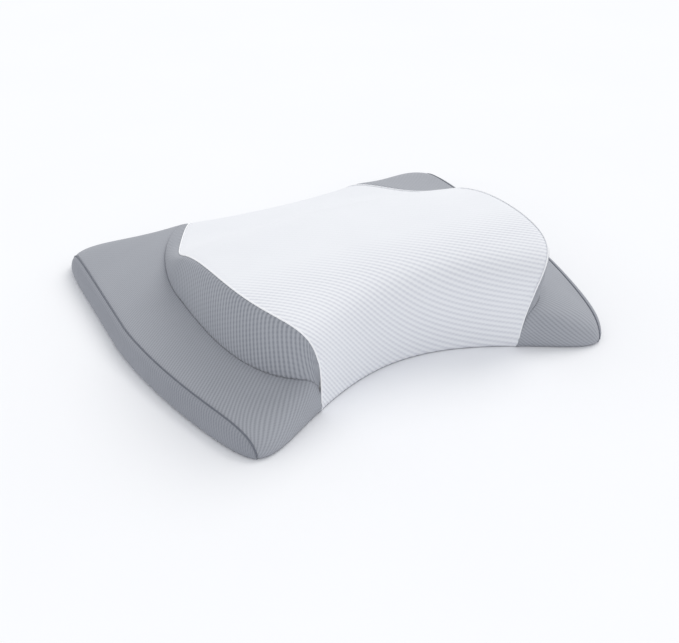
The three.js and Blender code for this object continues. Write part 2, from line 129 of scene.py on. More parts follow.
# ---- Seam cords ----
CORD_RADIUS, CORD_STEP = 0.9 * MM, 2.2 * MM
CREST_CORD_SUNK, END_CORD_SUNK = 0.2 * MM, 0.7 * MM
CREST_CORD_REACH = 0.999
CORD_SIDES = 10

# ---- Zip ----
ZIP_HEIGHT = (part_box("zip_coil_lower")[0].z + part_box("zip_coil_upper")[1].z) / 2
PANEL_ABOVE_ZIP = 25 * MM
TAPE_EDGES = (0.8 * MM, 11.6 * MM, 18.4 * MM, 24.9 * MM)
TAPE_REACH = 112 * MM
TAPE_DEPTH, TAPE_THICKNESS = 0.45 * MM, 0.8 * MM
TAPE_RIB_PITCH, TAPE_RIB_HEIGHT = 2.6 * MM, 0.08 * MM
STITCH_HEIGHTS = {"zip_stitches_upper": 22.4 * MM, "zip_stitches_lower": 4.4 * MM}
STITCH_PITCH, STITCH_HALF_LENGTH, THREAD_RADIUS = 3 * MM, 1.15 * MM, 0.22 * MM
STITCH_LIFT, STITCH_DIP = 0.05 * MM, 0.35 * MM
STOP_SIZE, STOP_SUNK = (2.9 * MM, 1.8 * MM), 0.3 * MM
COIL_PITCH, COIL_WIRE = 1.5 * MM, 0.36 * MM
COIL_RISE, COIL_DEPTH = 1.9 * MM, 0.8 * MM
SLIDER_SIZE = (12 * MM, 9 * MM)
OUTER_PLATE = (0.95 * MM, 2.15 * MM)  # how far out each face of a plate is
INNER_PLATE = (-2.45 * MM, -1.65 * MM)
TAB_PIVOT = 3.0 * MM
TAB_SIZE = (23 * MM, 7 * MM, 1 * MM)
TAB_START = -0.5 * MM
TAB_WINDOW = (0.5 * MM, 5 * MM, 1.4 * MM)     # where it starts and ends, and half its width
TAB_FIELD_START = 8.5 * MM
POST_SIZE = (2 * MM, 4.2 * MM, 1 * MM)
LIP_SIZE, LIP_DROP = (6.4 * MM, 0.6 * MM, 0.7 * MM), 0.1 * MM
BAIL_SIZE, BAIL_RISE = (8.6 * MM, 0.7 * MM, 1.6 * MM), 2.1 * MM
BAIL_FOOT_SIZE, BAIL_FOOT_RISE = (1.4 * MM, 2.4 * MM, 1.6 * MM), 1.1 * MM

LABEL_ETAS = (0.955, 0.998)         # its free end and its sewn one
LABEL_LIFT, LABEL_CURL, LABEL_WAVE = 0.9 * MM, 0.8 * MM, 0.25 * MM
LABEL_THICKNESS = 0.3 * MM
STRETCH = 1.03                       # how far the knit is stretched over the foam

# ---- Studio ----
CAMERA_AZIMUTH, CAMERA_ELEVATION = -27.98, 29.38
CAMERA_TARGET = Vector((0, 30.9 * MM, 46.4 * MM))
CAMERA_DISTANCE = 1.3292
CAMERA_SHIFT = (0.0186, -0.0988)
FILL_STRENGTH = 0.84
KEY_FROM = (0.6, 0.25, 0.76)
KEY_STRENGTH, KEY_SPREAD = 1.0, 40
FLOOR_SIZE, FLOOR_DROP = 24, 0.4 * MM


# ------------------------------------------------------------------ the pillow's surface

def corner_round(q):
    return np.where(q <= 1, q**CORNER_POWER, 2 - np.exp(-CORNER_POWER * (q - 1)))


def half_depth(x, eta):
    """How far the outline is from the middle line at x, towards the front or the back."""
    q = x / FRONT_CORNER_X
    flare = (np.hypot(1, q / FRONT_WAIST_ROUND) - 1) / (math.hypot(1, 1 / FRONT_WAIST_ROUND) - 1)
    front = WAIST_HALF_DEPTH + FRONT_FLARE * flare - FRONT_CORNER_DROP * corner_round(q)
    sag = BACK_ARC - np.sqrt(BACK_ARC**2 - x**2)
    back = WAIST_HALF_DEPTH + sag - BACK_CORNER_DROP * corner_round(x / BACK_CORNER_X)
    return np.where(eta < 0, front, back)


def middle_y():
    across = np.linspace(0, 1, 600)
    front = half_depth(across * FRONT_CORNER_X, -1).max()
    back = half_depth(across * BACK_CORNER_X, 1).max()
    return (front - back) / 2


MIDDLE_Y = middle_y()
ZIP_CENTRE_Y = MIDDLE_Y + WAIST_HALF_DEPTH + BACK_ARC


def end_x(eta, depth=0):
    return END_SEAM_X - FRONT_END_SWEEP * np.clip(-eta, 0, 1) ** END_SWEEP_POWER - depth


def wall_taper(eta):
    part = np.abs(eta) / np.where(eta < 0, WALL_END_FRONT, WALL_END_BACK)
    return np.clip(1 - part ** WALL_TAPER[0], 0, 1) ** WALL_TAPER[1]


def seam_x(eta, depth=0):
    end = np.where(eta < 0, CREST_SEAM_FRONT, CREST_SEAM_BACK)
    rounded = (eta**2 + CREST_SEAM_ROUND**2) ** (CREST_SEAM_POWER_BACK / 2)
    least = CREST_SEAM_ROUND**CREST_SEAM_POWER_BACK
    most = (1 + CREST_SEAM_ROUND**2) ** (CREST_SEAM_POWER_BACK / 2)
    back = (rounded - least) / (most - least)
    swing = np.where(eta < 0, np.abs(eta) ** CREST_SEAM_POWER_FRONT, back)
    return CREST_SEAM_MIDDLE + (end - CREST_SEAM_MIDDLE) * swing - depth * wall_taper(eta)


def foot_x(eta, depth=0):
    return seam_x(eta, depth) + WALL_WIDTH * (1 + WALL_SPREAD * np.maximum(0, eta) ** 1.5) * wall_taper(eta)


def rim(eta, powers):
    power = np.where(eta < 0, powers[0], powers[1])
    return np.sqrt(np.clip(1 - np.abs(eta) ** power, 0, 1))


def layer_z(full_height, depth, rise):
    """A layer's height over the bed, where the outside of the cover would rise to full_height."""
    low = BASE_LIFT * depth
    return low + (full_height - depth - low) * rise


def crest_height(eta, part):
    """part is 0 in the middle of the white panel and 1 at its seams."""
    fall = (eta - SHOULDER_AT + SHOULDER_SWEEP * part**2) / SHOULDER_WIDTH
    return BACK_HEIGHT + (NECK_HEIGHT - BACK_HEIGHT) / (1 + np.exp(fall))


def crest_z(eta, depth=0, part=1):
    return layer_z(crest_height(eta, part), depth, rim(eta, CREST_RIM))


def wing_z(x, eta, depth=0):
    """Towards the back a wing's foot would rise above the seam beside it, so it is held down to it."""
    foot = foot_x(eta, depth)
    across = np.clip((x - foot) / (end_x(eta, depth) - foot), 0, 1)
    height = WING_END_HEIGHT + (WING_FOOT_HEIGHT - WING_END_HEIGHT) * (1 - across) ** WING_COVE
    fade = np.sqrt(across)
    powers = [at_foot ** (1 - fade) * at_end**fade for at_foot, at_end in zip(WING_FOOT_RIM, WING_END_RIM)]
    foot_z = layer_z(WING_FOOT_HEIGHT, depth, rim(eta, WING_FOOT_RIM))
    excess = np.maximum(0, foot_z - crest_z(eta, depth))
    return layer_z(height, depth, rim(eta, powers)) - excess * (1 - across) ** 2


def lean(z, eta):
    """How far the front or the back leans out past its own foot at this height."""
    reach, height, power = [np.where(eta < 0, a, b) for a, b in zip(FRONT_LEAN, BACK_LEAN)]
    return np.sign(eta) * eta**2 * reach * (np.maximum(0, z) / height) ** power


def place(x, eta, z, depth=0):
    y = MIDDLE_Y + eta * (half_depth(np.abs(x), eta) - depth) + lean(z, eta)
    return np.stack(np.broadcast_arrays(x, y, z), -1)


def sunk_to(points, etas, height):
    """Points dropped to one height, each without the lean that its own height gave it."""
    low = points.copy()
    low[..., 1] += lean(height, etas[:, None]) - lean(points[..., 2], etas[:, None])
    low[..., 2] = height
    return low


def centre_surface(t, eta, depth=0):
    part = 2 * t - 1
    return place(seam_x(eta, depth) * part, eta, crest_z(eta, depth, part), depth)


def wall_surface(side):
    def surface(t, eta, depth=0):
        foot = foot_x(eta, depth)
        low = wing_z(foot, eta, depth)
        angle = t * math.pi / 2
        x = seam_x(eta, depth) + (foot - seam_x(eta, depth)) * np.sin(angle)
        return place(side * x, eta, low + (crest_z(eta, depth) - low) * np.cos(angle), depth)
    return surface


def wing_surface(side):
    def surface(t, eta, depth=0):
        foot = foot_x(eta, depth)
        x = foot + (end_x(eta, depth) - foot) * t
        return place(side * x, eta, wing_z(x, eta, depth), depth)
    return surface


def gusset_surface(side):
    def surface(t, eta, depth=0):
        low = BASE_LIFT * depth
        height = wing_z(end_x(eta, depth), eta, depth) - low
        angle = t * math.pi / 2
        bulge = GUSSET_BULGE * height / (WING_END_HEIGHT - depth - low)
        x = end_x(eta, depth) + bulge * np.sin(angle)
        return place(side * x, eta, low + height * np.cos(angle), depth)
    return surface


SECTIONS = {"centre": (centre_surface, 36)}
for word, side in (("left", -1), ("right", 1)):
    SECTIONS[word + "_wall"] = (wall_surface(side), 8)
    SECTIONS[word + "_wing"] = (wing_surface(side), 12)
    SECTIONS[word + "_gusset"] = (gusset_surface(side), 4)


# ------------------------------------------------------------------ grids of points

def lengths_along(points, axis):
    """Distance from the first row or column to each, measured over the surface."""
    steps = np.linalg.norm(np.diff(points, axis=axis), axis=-1)
    first = np.zeros_like(np.take(steps, [0], axis))
    return np.concatenate([first, np.cumsum(steps, axis)], axis)


def even_values(values, points, step):
    """Re-spaces values so that the points along them lie evenly, about a step apart."""
    lengths = lengths_along(points, 0)
    count = max(2, round(lengths[-1] / step))
    return np.interp(np.linspace(0, lengths[-1], count + 1), lengths, values)


def eta_samples(low, high, count=900):
    part = np.linspace(-1, 1, count)
    eta = np.sign(part) * (1 - (1 - np.abs(part)) ** 2)
    return low + (high - low) * (eta + 1) / 2


def panel_grid(surface, low, high, step):
    """Rows of eta and columns of t that give nearly square faces."""
    etas = eta_samples(low, high)
    etas = even_values(etas, surface(np.full_like(etas, 0.5), etas), step)
    ts = np.linspace(0, 1, 400)
    ts = even_values(ts, surface(ts, np.zeros_like(ts)), step)
    return ts, etas


def normals_of(points):
    across = np.gradient(points, axis=1)
    along = np.gradient(points, axis=0)
    normal = np.cross(across, along)
    return normal / np.maximum(np.linalg.norm(normal, axis=-1, keepdims=True), 1e-12)


def seam_normals(surface, t, etas, inward):
    """The surface's normals just inside one of its long edges."""
    near = t + inward * 0.02
    here, beside = surface(np.full_like(etas, t), etas), surface(np.full_like(etas, near), etas)
    across = (beside - here) * inward
    along = np.gradient(here, axis=0)
    normal = np.cross(across, along)
    normal *= np.where(normal[:, 2:] < 0, -1, 1)
    return normal / np.maximum(np.linalg.norm(normal, axis=-1, keepdims=True), 1e-12)


def quads(index):
    """The four-sided faces of a grid of vertex numbers."""
    corners = index[:-1, :-1], index[:-1, 1:], index[1:, 1:], index[1:, :-1]
    return np.stack(corners, -1).reshape(-1, 4).tolist()


def border_of(index):
    """A grid's outermost vertex numbers, in order round it."""
    ring = [*index[0], *index[1:, -1], *index[-1, -2::-1], *index[-2:0:-1, 0]]
    return [int(i) for i in ring]


def edge_faces(upper, lower):
    """The strip of faces that joins one closed ring of vertices to the ring below it."""
    ahead = upper[1:] + upper[:1], lower[1:] + lower[:1]
    return [list(face) for face in zip(ahead[0], upper, lower, ahead[1])]


# ------------------------------------------------------------------ cloth simulation

SETTLE_ETAS = np.linspace(-1, 1, 61)
SETTLE_ETAS = np.sign(SETTLE_ETAS) * (1 - (1 - np.abs(SETTLE_ETAS)) ** 1.6) * 0.994
ACROSS = ("left_gusset", "left_wing", "left_wall", "centre", "right_wall", "right_wing", "right_gusset")


def settle_columns():
    """Every section's columns from end to end, each seam only once."""
    columns = []
    for name in ACROSS:
        count = SECTIONS[name][1]
        ts = np.linspace(0, 1, count + 1)
        if name.startswith("left"):
            ts = ts[::-1]
        columns += [(name, t) for t in (ts if not columns else ts[1:])]
    return columns


def swollen_cover():
    """Inflates a coarse closed cover that is held at its seams, and returns how each point moved."""
    columns = settle_columns()
    top = np.stack([SECTIONS[name][0](np.full_like(SETTLE_ETAS, t), SETTLE_ETAS) for name, t in columns], 1)
    rows, count = top.shape[:2]
    under = sunk_to(top, SETTLE_ETAS, 0)
    index = np.arange(rows * count).reshape(rows, count)
    below = index + rows * count
    border = border_of(index)
    faces = quads(index) + quads(below[:, ::-1]) + edge_faces(border, border_of(below))
    mesh = bpy.data.meshes.new("settling_cover")
    mesh.from_pydata([tuple(p) for p in np.concatenate([top, under]).reshape(-1, 3)], [], faces)
    cover = bpy.data.objects.new("settling_cover", mesh)
    bpy.context.scene.collection.objects.link(cover)
    held = border + below.ravel().tolist()
    for c, (name, t) in enumerate(columns):
        if t in (0, 1):
            held += index[:, c].tolist()
    cover.vertex_groups.new(name="held").add(held, 1.0, "REPLACE")
    cloth = cover.modifiers.new("settle", "CLOTH")
    cloth.settings.vertex_group_mass = "held"
    cloth.settings.use_pressure = True
    cloth.settings.uniform_pressure_force = SWELL_PRESSURE
    cloth.settings.effector_weights.gravity = 0
    for step in range(1, SWELL_FRAMES + 1):
        bpy.context.scene.frame_set(step)
    evaluated = cover.evaluated_get(bpy.context.evaluated_depsgraph_get())
    settled = np.array([v.co for v in evaluated.data.vertices][: rows * count])
    bpy.data.objects.remove(cover)
    bpy.context.scene.frame_set(1)
    moved = settled.reshape(rows, count, 3) - top
    size = np.linalg.norm(moved, axis=-1, keepdims=True)
    moved *= SWELL_LIMIT * np.tanh(size / SWELL_LIMIT) / np.maximum(size, 1e-9)
    swell = {}
    for name in ACROSS:
        chosen = [c for c, column in enumerate(columns) if column[0] == name]
        first = chosen[0] - 1 if ACROSS.index(name) else chosen[0]
        part = moved[:, first : chosen[-1] + 1]
        swell[name] = part[:, ::-1] if name.startswith("left") else part
    return swell


def swell_at(grid, ts, etas):
    """Reads one section's swelling between the coarse cover's points."""
    columns = np.interp(ts, np.linspace(0, 1, grid.shape[1]), np.arange(grid.shape[1]))
    rows = np.interp(etas, SETTLE_ETAS, np.arange(len(SETTLE_ETAS)))
    left = np.minimum(columns.astype(int), grid.shape[1] - 2)
    low = np.minimum(rows.astype(int), grid.shape[0] - 2)
    across, along = (columns - left)[None, :, None], (rows - low)[:, None, None]
    near = grid[low][:, left] * (1 - across) + grid[low][:, left + 1] * across
    far = grid[low + 1][:, left] * (1 - across) + grid[low + 1][:, left + 1] * across
    return near * (1 - along) + far * along


# ------------------------------------------------------------------ meshes

def ribs(u, v, knit):
    """The relief of the knit's two crossing families of ribs, from a groove to a ridge."""
    pitch, height, angles = knit
    total = 0
    for angle, share in zip(angles, RIB_SHARES):
        across = -u * math.sin(angle) + v * math.cos(angle)
        total = total + share * np.cos(2 * math.pi * across / pitch)
    return height * total


def new_piece(name, vertices, faces, uvs=None):
    mesh = bpy.data.meshes.new(name)
    mesh.from_pydata([tuple(p) for p in vertices], [], faces)
    if uvs is not None:
        layer = mesh.uv_layers.new(name="cloth")
        corners = np.array([loop.vertex_index for loop in mesh.loops])
        layer.data.foreach_set("uv", np.asarray(uvs)[corners].ravel())
    mesh.shade_smooth()
    piece = bpy.data.objects.new(name, mesh)
    bpy.context.scene.collection.objects.link(piece)
    return piece


def shell(name, outer, uvs, thickness, share=BACKING_SHARE):
    """A closed cloth: the fine outer grid, its turned edge, and a plainer hidden side."""
    rows, columns = outer.shape[:2]
    inner = outer - normals_of(outer) * thickness
    row_cuts = [*range(0, rows - 1, share), rows - 1]
    column_cuts = [*range(0, columns - 1, share), columns - 1]
    outer_index = np.arange(rows * columns).reshape(rows, columns)
    vertices = list(outer.reshape(-1, 3))
    flat_uvs = list(uvs.reshape(-1, 2))
    inner_index = -np.ones((rows, columns), int)
    kept = np.zeros((rows, columns), bool)
    kept[[0, -1], :] = True
    kept[:, [0, -1]] = True
    kept[np.ix_(row_cuts, column_cuts)] = True
    for r, c in zip(*np.nonzero(kept)):
        inner_index[r, c] = len(vertices)
        vertices.append(inner[r, c])
        flat_uvs.append(uvs[r, c])
    faces = quads(outer_index) + edge_faces(border_of(outer_index), border_of(inner_index))
    for r0, r1 in zip(row_cuts, row_cuts[1:]):
        for c0, c1 in zip(column_cuts, column_cuts[1:]):
            ring = [(r0, c) for c in range(c0, c1)] + [(r, c1) for r in range(r0, r1)]
            ring += [(r1, c) for c in range(c1, c0, -1)] + [(r, c0) for r in range(r1, r0, -1)]
            loop = [int(inner_index[p]) for p in ring if inner_index[p] >= 0]
            faces.append(loop[::-1])
    return new_piece(name, vertices, faces, flat_uvs)


def edge_fade(distance, width):
    return np.exp(-((distance / width) ** 2))


def grid_area(points):
    corners = np.diff(points[:-1], axis=1), np.diff(points[:, :-1], axis=0)
    return float(np.linalg.norm(np.cross(*corners), axis=-1).sum())


def declare_stretched(points):
    """Works out the width, length and area that a sheet stretched over these points would be cut to;
    nothing is kept.
    """
    width = float(lengths_along(points, 1)[:, -1].max()) / STRETCH
    length = float(lengths_along(points, 0)[-1].max()) / STRETCH
    area = min(grid_area(points) / STRETCH**2, width * length)


def front_face(y):
    """1 where the white panel's ribs stand up fully, on the front, and small on top."""
    least, start, full = FRONT_FACE_RIBS
    return np.clip(least + (1 - least) * (y - start) / (full - start), least, 1)


def cover_panel(name, section, knit, low, high, seams, swell):
    """One panel of the knit cover. seams gives, for t = 0 and t = 1, the outward normals to share."""
    surface = SECTIONS[section][0]
    ts, etas = panel_grid(surface, low, high, FINE_STEP)
    points = surface(*np.meshgrid(ts, etas))
    if swell:
        points = points + swell_at(swell[section], ts, etas)
    u = lengths_along(points, 1)
    v = lengths_along(points, 0)
    u_middle = u[:, [u.shape[1] // 2]] if section == "centre" else 0
    v_middle = v[[np.argmin(np.abs(etas))], :]
    normals = normals_of(points)
    if section.startswith("left"):
        normals = -normals
    near, far = edge_fade(u, SEAM_TUCK_WIDTH), edge_fade(u[:, -1:] - u, SEAM_TUCK_WIDTH)
    relief = ribs(u - u_middle, v - v_middle, knit) * (1 - near) * (1 - far)
    if section == "centre":
        relief = relief * front_face(points[..., 1])
    points = points + normals * relief[..., None]
    for fade, normal_at in zip((near, far), seams):
        if normal_at is not None:
            points = points - SEAM_TUCK * fade[..., None] * normal_at(etas)[:, None]
    low_down = np.clip(1 - points[..., 2] / RIM_TUCK_HEIGHT, 0, 1) ** 2
    points[..., 1] -= np.sign(etas)[:, None] * RIM_TUCK * low_down * (section[-6:] != "gusset")
    points[..., 0] -= np.sign(points[..., 0]) * RIM_TUCK * low_down * (section[-6:] == "gusset")
    points[..., 2] = np.maximum(points[..., 2], 0)
    uvs = np.stack([u - u_middle, v - v_middle], -1)
    if section.startswith("left"):
        points, uvs = points[:, ::-1], uvs[:, ::-1]
    piece = shell(name, points, uvs, CLOTH_THICKNESS)
    declare_stretched(points)
    return piece


def unit(vectors):
    return vectors / np.maximum(np.linalg.norm(vectors, axis=-1, keepdims=True), 1e-12)


def crest_normals(word):
    """Halfway between the white panel and the grey one beside it."""
    wall, wing = SECTIONS[word + "_wall"][0], SECTIONS[word + "_wing"][0]

    def at(etas):
        t = 1 if word == "right" else 0
        white = seam_normals(centre_surface, t, etas, 1 - 2 * t)
        standing = np.clip((crest_z(etas) - wing_z(foot_x(etas), etas)) / (15 * MM), 0, 1)[:, None]
        grey = seam_normals(wall, 0, etas, 1) * standing + seam_normals(wing, 0, etas, 1) * (1 - standing)
        return unit(white + grey)
    return at


def foot_normals(word):
    wing = SECTIONS[word + "_wing"][0]
    side = 1 if word == "right" else -1

    def at(etas):
        return unit(seam_normals(wing, 0, etas, 1) + np.array([side * 1.2, 0, 0]))
    return at


def end_normals(word):
    wing = SECTIONS[word + "_wing"][0]
    side = 1 if word == "right" else -1

    def at(etas):
        return unit(seam_normals(wing, 1, etas, -1) + np.array([side, 0, 0]))
    return at


def ring_faces(first, rings, sides, closed=False):
    """The faces round a tube of rings, whose vertices start at number first."""
    rows = first + np.arange(rings * sides).reshape(rings, sides)
    rows = np.concatenate([rows, rows[:, :1]], 1)
    return quads(np.concatenate([rows, rows[:1]]) if closed else rows)


def tube(name, path, radius, sides=CORD_SIDES):
    """A closed round cord along a path."""
    tangents = unit(np.gradient(path, axis=0))
    side = unit(np.cross(tangents, np.array([0.3, 0.1, 1.0])))
    other = np.cross(tangents, side)
    turn = np.linspace(0, 2 * math.pi, sides, endpoint=False)
    ring = side[:, None] * np.cos(turn)[:, None] + other[:, None] * np.sin(turn)[:, None]
    vertices = (path[:, None] + radius * ring).reshape(-1, 3)
    lengths = lengths_along(path, 0)
    uvs = np.stack(np.broadcast_arrays(turn[None] * radius, lengths[:, None]), -1).reshape(-1, 2)
    faces = ring_faces(0, len(path), sides)
    faces.append(list(range(sides)))
    faces.append(list(range(len(vertices) - 1, len(vertices) - 1 - sides, -1)))
    piece = new_piece(name, vertices, faces, uvs)
    tidy_normals(piece)
    return piece


def tidy_normals(piece):
    shape = bmesh.new()
    shape.from_mesh(piece.data)
    bmesh.ops.remove_doubles(shape, verts=shape.verts, dist=1e-7)
    bmesh.ops.recalc_face_normals(shape, faces=shape.faces)
    shape.to_mesh(piece.data)
    shape.free()


def seam_cord(name, surface, t, normal_at, reach, sunk):
    etas = eta_samples(-reach, reach)
    etas = even_values(etas, surface(np.full_like(etas, t), etas), CORD_STEP)
    line = surface(np.full_like(etas, t), etas) - normal_at(etas) * sunk
    return tube(name, line, CORD_RADIUS)


# ------------------------------------------------------------------ materials

def linear(hex_colour):
    """An sRGB hex colour as linear RGBA."""
    values = [int(hex_colour[i : i + 2], 16) / 255 for i in (1, 3, 5)]
    return (*[v / 12.92 if v <= 0.04045 else ((v + 0.055) / 1.055) ** 2.4 for v in values], 1)


def add(tree, kind, settings=None, **inputs):
    """Adds a node. An input is named with _ for a space, and is a value or another node's output."""
    node = tree.nodes.new("ShaderNode" + kind)
    for key, value in (settings or {}).items():
        setattr(node, key, value)
    for key, value in inputs.items():
        socket = node.inputs[int(key[1:])] if key[1:].isdigit() else node.inputs[key.replace("_", " ")]
        if isinstance(value, bpy.types.NodeSocket):
            tree.links.new(value, socket)
        else:
            socket.default_value = value
    return node


def new_material(name):
    material = bpy.data.materials.new(name)
    material.use_nodes = True
    tree = material.node_tree
    tree.nodes.clear()
    return material, tree


def finish(tree, tone, colours, relief=None, raised=(0, 0), stops=(0, 1), **shader):
    """Ends a material: its tone runs between two colours, its relief is raised by a strength and a
    height, and the rest are the shader's own settings."""
    ramp = add(tree, "ValToRGB", Fac=tone)
    for element, colour, stop in zip(ramp.color_ramp.elements, colours, stops):
        element.position, element.color = stop, linear(colour)
    if relief is not None:
        lifted = add(tree, "Bump", Strength=raised[0], Distance=raised[1], Height=relief)
        shader["Normal"] = lifted.outputs[0]
    surface = add(tree, "BsdfPrincipled", Base_Color=ramp.outputs[0], **shader)
    add(tree, "OutputMaterial", Surface=surface.outputs[0])


def rib_wave(tree, position, angle, pitch):
    """Stripes a pitch apart across the cloth, 0 in a groove and 1 on a ridge."""
    turned = add(tree, "Mapping", {"vector_type": "POINT"}, Vector=position, Rotation=(0, 0, -angle))
    settings = {"wave_type": "BANDS", "bands_direction": "Y", "wave_profile": "SIN"}
    scale = 2 * math.pi / (20 * pitch)
    wave = add(tree, "TexWave", settings, Vector=turned.outputs[0], Scale=scale, Phase_Offset=math.pi / 2)
    return wave.outputs["Fac"]


def knit_fabric(name, ridge, groove, knit, contrast=1.0, front_only=False):
    """Weft-knitted polyester and spandex with raised ribs: matt, with a faint bloom at grazing
    angles. Its grooves and the gaps between its stitches are painted darker than its ribs, as
    painted shade. Its stitches are 1.1 mm apart, drawn at 1.8 mm so that they show."""
    material, tree = new_material(name)
    cloth = add(tree, "UVMap", {"uv_map": "cloth"}).outputs[0]
    pitch, _, angles = knit
    first, second = [rib_wave(tree, cloth, angle, pitch) for angle in angles]
    crossed = add(tree, "Mix", {"data_type": "FLOAT"}, _0=RIB_SHARES[1], _2=first, _3=second)
    # Painted shade: the grooves' painted shade shows fully on the front face and only faintly on top, so
    # the white front face is painted darker than the top.
    if front_only:
        least, start, full = FRONT_FACE_RIBS
        place_on = add(tree, "SeparateXYZ", Vector=add(tree, "TexCoord").outputs["Object"])
        contrast = add(tree, "MapRange", Value=place_on.outputs["Y"], _1=start, _2=full,
                       _3=least * contrast, _4=contrast).outputs[0]
    ribbed = add(tree, "Mix", {"data_type": "FLOAT"}, _0=contrast, _2=0.7, _3=crossed.outputs[0])
    stitches = add(tree, "TexVoronoi", {"distance": "CHEBYCHEV"}, Vector=cloth, Scale=1 / (1.8 * MM),
                   Randomness=0.25)
    clouds = add(tree, "TexNoise", Vector=cloth, Scale=9.0, Detail=3.0)
    # Painted shade: this relief also sets the tone, so the grooves and the gaps between stitches are
    # painted darker; the clouds are the cloth's own uneven tone.
    depth = add(tree, "Math", {"operation": "MULTIPLY_ADD"}, _0=stitches.outputs["Distance"], _1=-0.35,
                _2=ribbed.outputs[0])
    shade = add(tree, "Math", {"operation": "MULTIPLY_ADD"}, _0=clouds.outputs[0], _1=0.22,
                _2=depth.outputs[0])
    finish(tree, shade.outputs[0], (groove, ridge), depth.outputs[0], (0.5, 0.35 * MM), (0.05, 0.75),
           Roughness=0.88, IOR=1.5, Sheen_Weight=0.15, Sheen_Roughness=0.45, Specular_IOR_Level=0.25)
    return material


def braid(name, light, dark):
    """Cord covered in the knit: matt, with the cover's twist wrapping round it every 1.4 mm.
    The twist's grooves are painted darker, as painted shade.
    """
    material, tree = new_material(name)
    cloth = add(tree, "UVMap", {"uv_map": "cloth"}).outputs[0]
    twist = rib_wave(tree, cloth, math.radians(35), 1.4 * MM)
    finish(tree, twist, (dark, light), twist, (0.4, 0.15 * MM), Roughness=0.85, IOR=1.5, Sheen_Weight=0.1)
    return material


def memory_foam():
    """Moulded viscoelastic polyurethane foam: cream, dull, with 0.5 mm open cells under a thin skin,
    drawn at 1.5 mm so that they show."""
    material, tree = new_material("polyurethane_memory_foam")
    position = add(tree, "TexCoord").outputs["Object"]
    cells = add(tree, "TexVoronoi", Vector=position, Scale=1 / (1.5 * MM)).outputs["Distance"]
    patches = add(tree, "TexNoise", Vector=position, Scale=14.0, Detail=4.0)
    # Painted shade: each open cell is painted darker towards its hollow middle; the patches are the foam's
    # own uneven tone.
    tone = add(tree, "Math", {"operation": "MULTIPLY_ADD"}, _0=cells, _1=0.5, _2=patches.outputs[0])
    finish(tree, tone.outputs[0], ("#e3d6ae", "#f6efd6"), cells, (0.5, 0.4 * MM), Roughness=0.95,
           IOR=1.5, Subsurface_Weight=0.1, Subsurface_Scale=0.004)
    return material


def liner_jersey():
    """Thin plain jersey: off-white, fine vertical wales 1 mm apart drawn at 2 mm so that they show."""
    material, tree = new_material("cotton_jersey")
    position = add(tree, "TexCoord").outputs["Object"]
    wales = rib_wave(tree, position, math.radians(90), 2 * MM)
    rows = rib_wave(tree, position, 0, 1.4 * MM)
    loops = add(tree, "Mix", {"data_type": "FLOAT"}, _0=0.35, _2=wales, _3=rows).outputs[0]
    # Painted shade: the low lines between the wales and rows are painted darker than the loops.
    finish(tree, loops, ("#d9dad6", "#f4f4f1"), loops, (0.4, 0.2 * MM), Roughness=0.9, IOR=1.5,
           Sheen_Weight=0.15)
    return material


def zip_tape_weave():
    """Woven polyester tape: pale grey, satin-dull, in a 1 mm herringbone."""
    material, tree = new_material("woven_polyester_tape")
    cloth = add(tree, "UVMap", {"uv_map": "cloth"}).outputs[0]
    left = rib_wave(tree, cloth, math.radians(45), 1 * MM)
    right = rib_wave(tree, cloth, math.radians(-45), 1 * MM)
    columns = rib_wave(tree, cloth, math.radians(90), 4 * MM)
    side = add(tree, "Math", {"operation": "GREATER_THAN"}, _0=columns, _1=0.5)
    weave = add(tree, "Mix", {"data_type": "FLOAT"}, _0=side.outputs[0], _2=left, _3=right).outputs[0]
    # Painted shade: the low diagonals of the herringbone are painted darker than its raised ones.
    finish(tree, weave, ("#a5a9b1", "#cdd0d7"), weave, (0.5, 0.15 * MM), Roughness=0.7, IOR=1.5)
    return material


def zip_nylon():
    """Wound nylon monofilament: translucent grey and softly glossy, its tone drifting a little."""
    material, tree = new_material("nylon_monofilament")
    position = add(tree, "TexCoord").outputs["Object"]
    drift = add(tree, "TexNoise", Vector=position, Scale=160.0, Detail=2.0)
    finish(tree, drift.outputs[0], ("#b4b8c0", "#d5d8de"), Roughness=0.35, IOR=1.53,
           Subsurface_Weight=0.15, Subsurface_Scale=0.001)
    return material


def zip_metal():
    """Die-cast zinc, nickel plated and barrel polished: a soft mirror, worn brighter in fine scuffs."""
    material, tree = new_material("nickel_plated_zinc")
    position = add(tree, "TexCoord").outputs["Object"]
    scuffs = add(tree, "TexNoise", Vector=position, Scale=900.0, Detail=4.0, Distortion=1.5).outputs[0]
    dull = add(tree, "MapRange", Value=scuffs, _3=0.24, _4=0.42).outputs[0]
    finish(tree, scuffs, ("#a9abae", "#d6d7d9"), scuffs, (0.15, 0.05 * MM), Metallic=1.0, Roughness=dull)
    return material


def label_satin():
    """Polyester satin ribbon: white, its 0.5 mm warp drawn at 1 mm, with a painted sheen: each warp
    rib is painted lighter and the hollows between them are painted darker, as painted shade.
    """
    material, tree = new_material("polyester_satin")
    cloth = add(tree, "UVMap", {"uv_map": "cloth"}).outputs[0]
    warp = rib_wave(tree, cloth, math.radians(90), 1 * MM)
    finish(tree, warp, ("#e4e5e6", "#fafafa"), warp, (0.2, 0.1 * MM), Roughness=0.45, IOR=1.5,
           Anisotropic=0.4)
    return material


def studio_paper():
    """Matt white studio paper, with the faint mottling of its fibres."""
    material, tree = new_material("matt_paper")
    position = add(tree, "TexCoord").outputs["Object"]
    fibres = add(tree, "TexNoise", Vector=position, Scale=3.0, Detail=6.0)
    finish(tree, fibres.outputs[0], ("#f7f8fb", "#fafbfd"), Roughness=1.0, Specular_IOR_Level=0.0)
    return material
